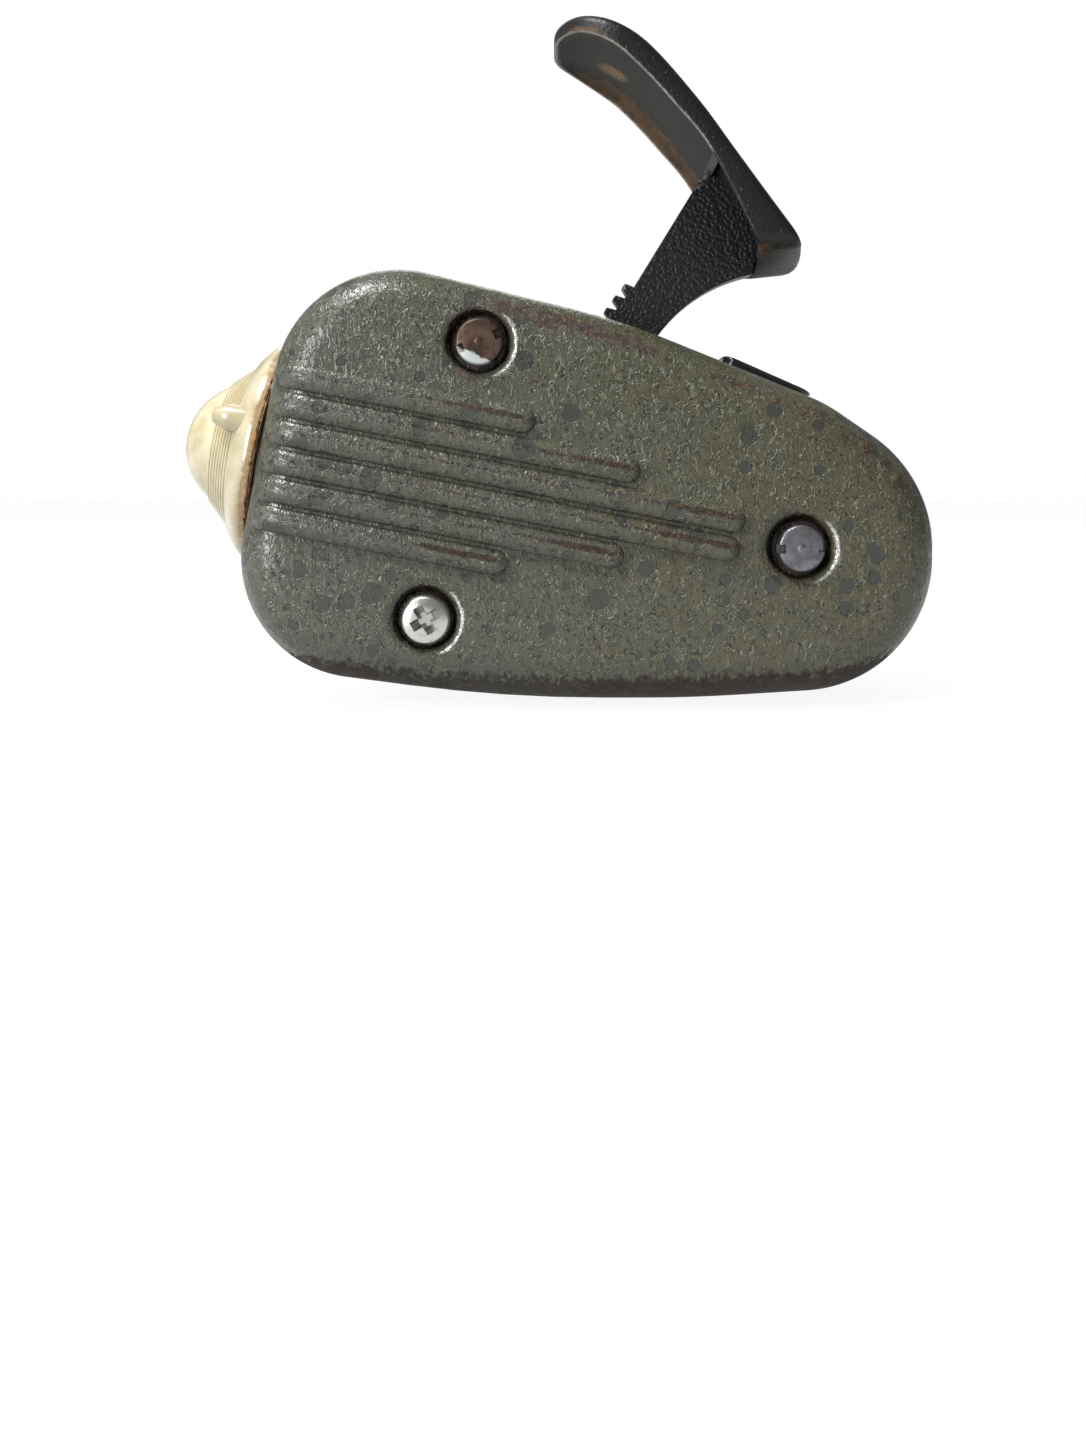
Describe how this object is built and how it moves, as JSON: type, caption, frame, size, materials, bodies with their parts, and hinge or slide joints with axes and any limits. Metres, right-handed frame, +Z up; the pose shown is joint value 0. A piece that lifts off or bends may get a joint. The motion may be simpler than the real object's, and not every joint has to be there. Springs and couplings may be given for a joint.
{
  "type": "dynamo flashlight",
  "caption": "Hand-held lamp that a squeezed lever powers through a gear train and a magnet generator, with a ribbed two-part steel casing and a domed lens.",
  "frame": {"origin": "middle of the bounding box in plan, on the floor under the belly, with the lever open", "axes": "+X runs from the lens to the tail, +Z is up on the side of the lever, and the casing seam lies near the plane y = 0"},
  "size_m": [0.1152, 0.0464, 0.1038],
  "materials": {
    "casing_enamel": "olive grey enamel, semi-gloss, chipped and rusted at the edges",
    "black_enamel": "dark grey crackle enamel, worn to bare metal on the edges",
    "black_gloss": "black gloss enamel",
    "zinc": "dull zinc plate",
    "rusty_zinc": "rusted zinc plate",
    "steel": "plain steel",
    "cream_plastic": "yellowed translucent moulding",
    "sealant": "brown putty",
    "mirror_plate": "plated reflector",
    "bulb_glass": "clear glass",
    "brass": "plain brass",
    "copper_winding": "enamelled copper winding",
    "magnet": "cast magnet alloy",
    "laminations": "stacked iron sheets",
    "lead_sleeve": "woven sleeve"
  },
  "bodies": {
    "casing": {"near_casing_half": "casing_enamel", "far_casing_half": "casing_enamel", "top_casing_screw": "rusty_zinc", "tail_casing_screw": "zinc", "lower_casing_screw": "zinc", "top_screw_post": "zinc", "tail_screw_post": "zinc", "lower_screw_post": "zinc", "lens": "cream_plastic", "lens_seal": "sealant", "reflector": "mirror_plate", "bulb_glass": "bulb_glass", "bulb_cap": "brass", "lamp_socket": "brass", "contact_spring": "brass", "lamp_lead": "lead_sleeve", "lever_axle": "steel", "lever_return_spring": "steel", "near_frame_plate": "steel", "far_frame_plate": "steel", "open_stop_pin": "steel", "closed_stop_pin": "steel", "bridge_plate": "steel", "bridge_spacer_1": "steel", "bridge_spacer_2": "steel", "bridge_spacer_3": "steel", "far_rotor_bush": "brass", "near_rotor_bush": "brass", "stator_core": "laminations", "stator_coil": "copper_winding", "rotor_bracket": "steel", "core_spacer_1": "steel", "core_spacer_2": "steel"},
    "lever": {"squeeze_lever": "black_enamel"},
    "slide": {"lock_slide": "black_gloss"},
    "pinion": {"pinion_shaft": "steel", "ratchet_wheel": "steel"},
    "drive": {"drive_wheel": "brass", "pawl_1": "steel", "pawl_2": "steel"},
    "idler": {"idler_shaft": "steel", "idler_wheel": "brass"},
    "rotor": {"rotor_shaft": "steel", "rotor_magnet": "magnet"}
  },
  "joints": [
    {"name": "lever_hinge", "type": "hinge", "parent": "casing", "child": "lever", "pos_m": [0.03658, 0, 0.04221], "axis": [0, -1, 0], "range_deg": [0, 35], "stiffness_Nm_per_rad": 0.1, "springref_deg": -28.65, "deforming": ["lever_return_spring"]},
    {"name": "lock_slide_travel", "type": "slide", "parent": "casing", "child": "slide", "axis": [-0.9268, 0, 0.3755], "range_m": [0, 0.004]},
    {"name": "pinion_spin", "type": "hinge", "parent": "casing", "child": "pinion", "pos_m": [-0.00006, 0, 0.04503], "axis": [0, -1, 0], "range_deg": [-312, 4]},
    {"name": "drive_spin", "type": "hinge", "parent": "casing", "child": "drive", "pos_m": [-0.00006, 0, 0.04503], "axis": [0, -1, 0], "continuous": true},
    {"name": "idler_spin", "type": "hinge", "parent": "casing", "child": "idler", "pos_m": [-0.00045, 0, 0.03303], "axis": [0, -1, 0], "continuous": true},
    {"name": "rotor_spin", "type": "hinge", "parent": "casing", "child": "rotor", "pos_m": [0.00408, 0, 0.02301], "axis": [0, -1, 0], "continuous": true}
  ],
  "couplings": [
    {"joint": "pinion_spin", "follows": "lever_hinge", "ratio": -8.8},
    {"joint": "drive_spin", "follows": "lever_hinge", "ratio": -8.8},
    {"joint": "idler_spin", "follows": "lever_hinge", "ratio": 26.4},
    {"joint": "rotor_spin", "follows": "lever_hinge", "ratio": -70.4}
  ]
}
